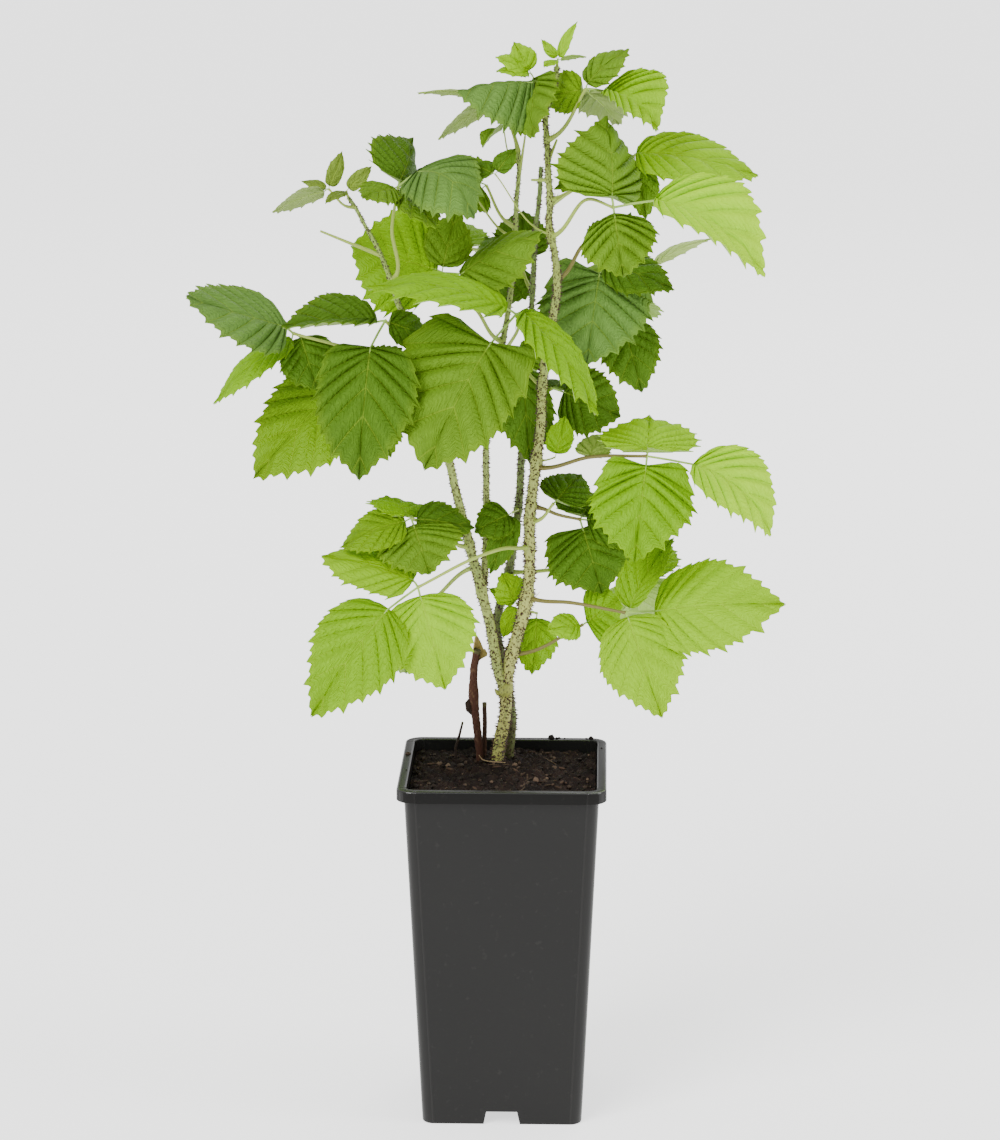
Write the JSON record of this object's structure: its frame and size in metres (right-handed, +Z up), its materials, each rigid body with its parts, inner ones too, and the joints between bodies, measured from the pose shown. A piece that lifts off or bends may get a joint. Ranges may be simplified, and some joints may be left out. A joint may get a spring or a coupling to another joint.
{
  "type": "potted raspberry plant",
  "caption": "Young raspberry plant with bristly green canes and toothed, veined leaflets, rooted in soil in a tall square plastic pot.",
  "frame": {"origin": "middle of the bottom of the bounding box, on the plane that the pot stands on", "axes": "+Z up along the pot and the canes, +X to the viewer's right and +Y away from the viewer of the picture; the pot's sides lie along X and Y"},
  "size_m": [0.3392, 0.2012, 0.6353],
  "materials": {
    "pot_plastic": "satin, slightly ribbed at the corners",
    "compost": "dark, crumbly and matte",
    "cane_green": "waxy green bark with dark purple-brown prickles",
    "dead_wood": "dry brown bark, matte",
    "leaf_green": "softly hairy upper face, paler underneath",
    "leaf_bright_green": "softly hairy upper face, paler underneath",
    "leaf_light_green": "softly hairy upper face, paler underneath",
    "leaf_dark_green": "softly hairy upper face, paler underneath",
    "leaf_young_green": "young and slightly brownish, hairy"
  },
  "bodies": {
    "root": {"pot": "pot_plastic", "soil": "compost", "canes_forked": "cane_green", "cane_back": "cane_green", "cane_old": "dead_wood", "cane_stub": "dead_wood", "twig_dry": "dead_wood", "leaf_front_centre": "leaf_green", "leaf_far_left": "leaf_green", "leaf_mid_left": "leaf_green", "leaf_right_top_front": "leaf_green", "leaf_summit_left": "leaf_green", "leaf_summit_far_left": "leaf_green", "leaf_upper_small": "leaf_green", "leaf_behind_upper_left": "leaf_green", "leaf_behind_upper_mid": "leaf_green", "leaf_inner_back": "leaf_green", "leaf_rear_middle": "leaf_green", "leaf_rear_left": "leaf_green", "leaf_left_under": "leaf_bright_green", "leaf_summit_young": "leaf_bright_green", "shoot_tip_main": "leaf_bright_green", "leaf_right_low": "leaf_bright_green", "leaf_left_low": "leaf_bright_green", "leaf_inner_foot": "leaf_bright_green", "leaf_rear_low_right": "leaf_bright_green", "leaf_rear_low_left": "leaf_bright_green", "leaf_right_top_back": "leaf_light_green", "leaf_summit_right": "leaf_light_green", "leaf_right_mid": "leaf_light_green", "leaf_right_low_inner": "leaf_light_green", "leaf_low_mid": "leaf_light_green", "leaf_inner_small": "leaf_light_green", "leaf_rear_right": "leaf_light_green", "leaf_left_upper_front": "leaf_dark_green", "leaf_left_top": "leaf_dark_green", "leaf_mid_back": "leaf_dark_green", "leaf_upper_mid": "leaf_dark_green", "leaf_right_low_back": "leaf_dark_green", "leaf_right_small": "leaf_dark_green", "leaf_left_low_back": "leaf_dark_green", "leaf_inner_low": "leaf_dark_green", "leaf_inner_mid": "leaf_dark_green", "leaf_inner_right": "leaf_dark_green", "leaf_right_behind": "leaf_dark_green", "leaf_right_far_behind": "leaf_dark_green", "leaf_rear_top": "leaf_dark_green", "leaf_left_young": "leaf_young_green", "shoot_tip_left": "leaf_young_green"}
  },
  "joints": []
}
